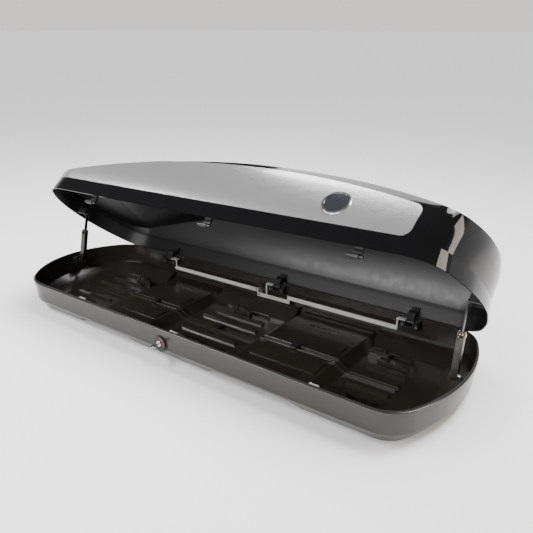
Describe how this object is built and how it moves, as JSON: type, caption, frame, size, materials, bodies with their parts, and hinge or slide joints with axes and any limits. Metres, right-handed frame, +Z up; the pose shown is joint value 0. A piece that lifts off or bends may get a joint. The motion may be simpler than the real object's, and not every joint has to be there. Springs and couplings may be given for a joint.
{
  "type": "roof cargo box",
  "caption": "Long roof cargo box, lid hinged open from the near side, silver side panels, key lock, sliding lock rails and folding lid lifters",
  "frame": {"origin": "on the underside of the floor, midway between nose and tail and on the middle line", "axes": "+X towards the tail, +Y towards the far long side, which the lid is hinged on as it stands, +Z up"},
  "size_m": [2.0013, 0.8208, 0.6981],
  "materials": {
    "tub_plastic": "satin, fine grain",
    "lid_gloss": "high gloss",
    "lid_lining": "satin",
    "panel_silver": "metallic silver paint",
    "trim_plastic": "satin black",
    "seal_rubber": "matt",
    "rail_aluminium": "extruded, satin",
    "screw_steel": "zinc plated",
    "lock_steel": "polished",
    "marker_red": "gloss",
    "arm_steel": "grey, zinc plated",
    "link_black": "black coated",
    "rivet_brass": "polished",
    "badge_face": "gloss",
    "badge_chrome": "bright"
  },
  "bodies": {
    "tub": {"base_tub": "tub_plastic", "channel_clips": "trim_plastic", "far_housings": "trim_plastic", "far_lock_marker": "marker_red", "far_lock_plate": "trim_plastic", "front_foot_bracket": "link_black", "front_foot_pin": "screw_steel", "housing_screws": "screw_steel", "near_housings": "trim_plastic", "near_lock_marker": "marker_red", "near_lock_plate": "trim_plastic", "rear_foot_bracket": "link_black", "rear_foot_pin": "screw_steel", "rim_seal": "seal_rubber", "strap_loops": "trim_plastic"},
    "lid": {"arm_screws": "screw_steel", "far_badge": "badge_face", "far_badge_ring": "badge_chrome", "far_hinge_arms": "trim_plastic", "far_hinge_pins": "screw_steel", "far_side_panel": "panel_silver", "front_lid_bracket": "link_black", "lid_liner": "lid_lining", "lid_pins": "screw_steel", "lid_shell": "lid_gloss", "near_badge": "badge_face", "near_badge_ring": "badge_chrome", "near_hinge_arms": "trim_plastic", "near_hinge_pins": "screw_steel", "near_side_panel": "panel_silver", "rear_lid_bracket": "link_black"},
    "near_lock": {"near_lock_barrel": "lock_steel", "near_lock_cam": "screw_steel", "lock_key": "lock_steel"},
    "near_front_rail": {"near_rail_front": "rail_aluminium"},
    "near_rear_rail": {"near_rail_rear": "rail_aluminium"},
    "far_lock": {"far_lock_barrel": "lock_steel", "far_lock_cam": "screw_steel"},
    "far_front_rail": {"far_rail_front": "rail_aluminium"},
    "far_rear_rail": {"far_rail_rear": "rail_aluminium"},
    "front_lower": {"front_lower_arm": "arm_steel", "front_elbow_rivet": "rivet_brass"},
    "front_upper": {"front_upper_link": "link_black"},
    "rear_lower": {"rear_lower_arm": "arm_steel", "rear_elbow_rivet": "rivet_brass"},
    "rear_upper": {"rear_upper_link": "link_black"}
  },
  "joints": [
    {"name": "lid_hinge", "type": "hinge", "parent": "tub", "child": "lid", "pos_m": [0, 0.3065, 0.1095], "axis": [-0.9998, -0.0175, 0], "range_deg": [-40.5, 0]},
    {"name": "near_lock_turn", "type": "hinge", "parent": "tub", "child": "near_lock", "pos_m": [-0.05699, -0.3055, 0.069], "axis": [-0.0175, -0.9998, 0], "range_deg": [0, 90]},
    {"name": "near_front_rail_slide", "type": "slide", "parent": "tub", "child": "near_front_rail", "axis": [-0.9998, 0.0175, 0], "range_m": [0, 0.016]},
    {"name": "near_rear_rail_slide", "type": "slide", "parent": "tub", "child": "near_rear_rail", "axis": [0.9998, -0.0175, 0], "range_m": [0, 0.016]},
    {"name": "far_lock_turn", "type": "hinge", "parent": "tub", "child": "far_lock", "pos_m": [-0.05699, 0.3055, 0.069], "axis": [-0.0175, 0.9998, 0], "range_deg": [0, 90]},
    {"name": "far_front_rail_slide", "type": "slide", "parent": "tub", "child": "far_front_rail", "axis": [0.9998, 0.0175, 0], "range_m": [0, 0.016]},
    {"name": "far_rear_rail_slide", "type": "slide", "parent": "tub", "child": "far_rear_rail", "axis": [-0.9998, -0.0175, 0], "range_m": [0, 0.016]},
    {"name": "front_lifter_lower", "type": "hinge", "parent": "tub", "child": "front_lower", "pos_m": [-0.94079, 0.04499, 0.1], "axis": [0.9998, 0.0175, 0], "range_deg": [0, 82.48]},
    {"name": "front_lifter_upper", "type": "hinge", "parent": "front_lower", "child": "front_upper", "pos_m": [-0.94131, 0.07499, 0.236], "axis": [0.9998, 0.0175, 0], "range_deg": [-157.35, 0]},
    {"name": "rear_lifter_lower", "type": "hinge", "parent": "tub", "child": "rear_lower", "pos_m": [0.93921, 0.04499, 0.1], "axis": [0.9998, 0.0175, 0], "range_deg": [0, 105.57]},
    {"name": "rear_lifter_upper", "type": "hinge", "parent": "rear_lower", "child": "rear_upper", "pos_m": [0.93869, 0.07499, 0.236], "axis": [0.9998, 0.0175, 0], "range_deg": [-150.34, 0]}
  ],
  "couplings": [
    {"joint": "near_front_rail_slide", "follows": "near_lock_turn", "m_per_rad": 0.010186},
    {"joint": "near_rear_rail_slide", "follows": "near_lock_turn", "m_per_rad": 0.010186},
    {"joint": "far_front_rail_slide", "follows": "far_lock_turn", "m_per_rad": 0.010186},
    {"joint": "far_rear_rail_slide", "follows": "far_lock_turn", "m_per_rad": 0.010186},
    {"joint": "front_lifter_lower", "follows": "lid_hinge", "ratio": -2.0366},
    {"joint": "front_lifter_upper", "follows": "lid_hinge", "ratio": 3.8851},
    {"joint": "rear_lifter_lower", "follows": "lid_hinge", "ratio": -2.6065},
    {"joint": "rear_lifter_upper", "follows": "lid_hinge", "ratio": 3.712}
  ]
}
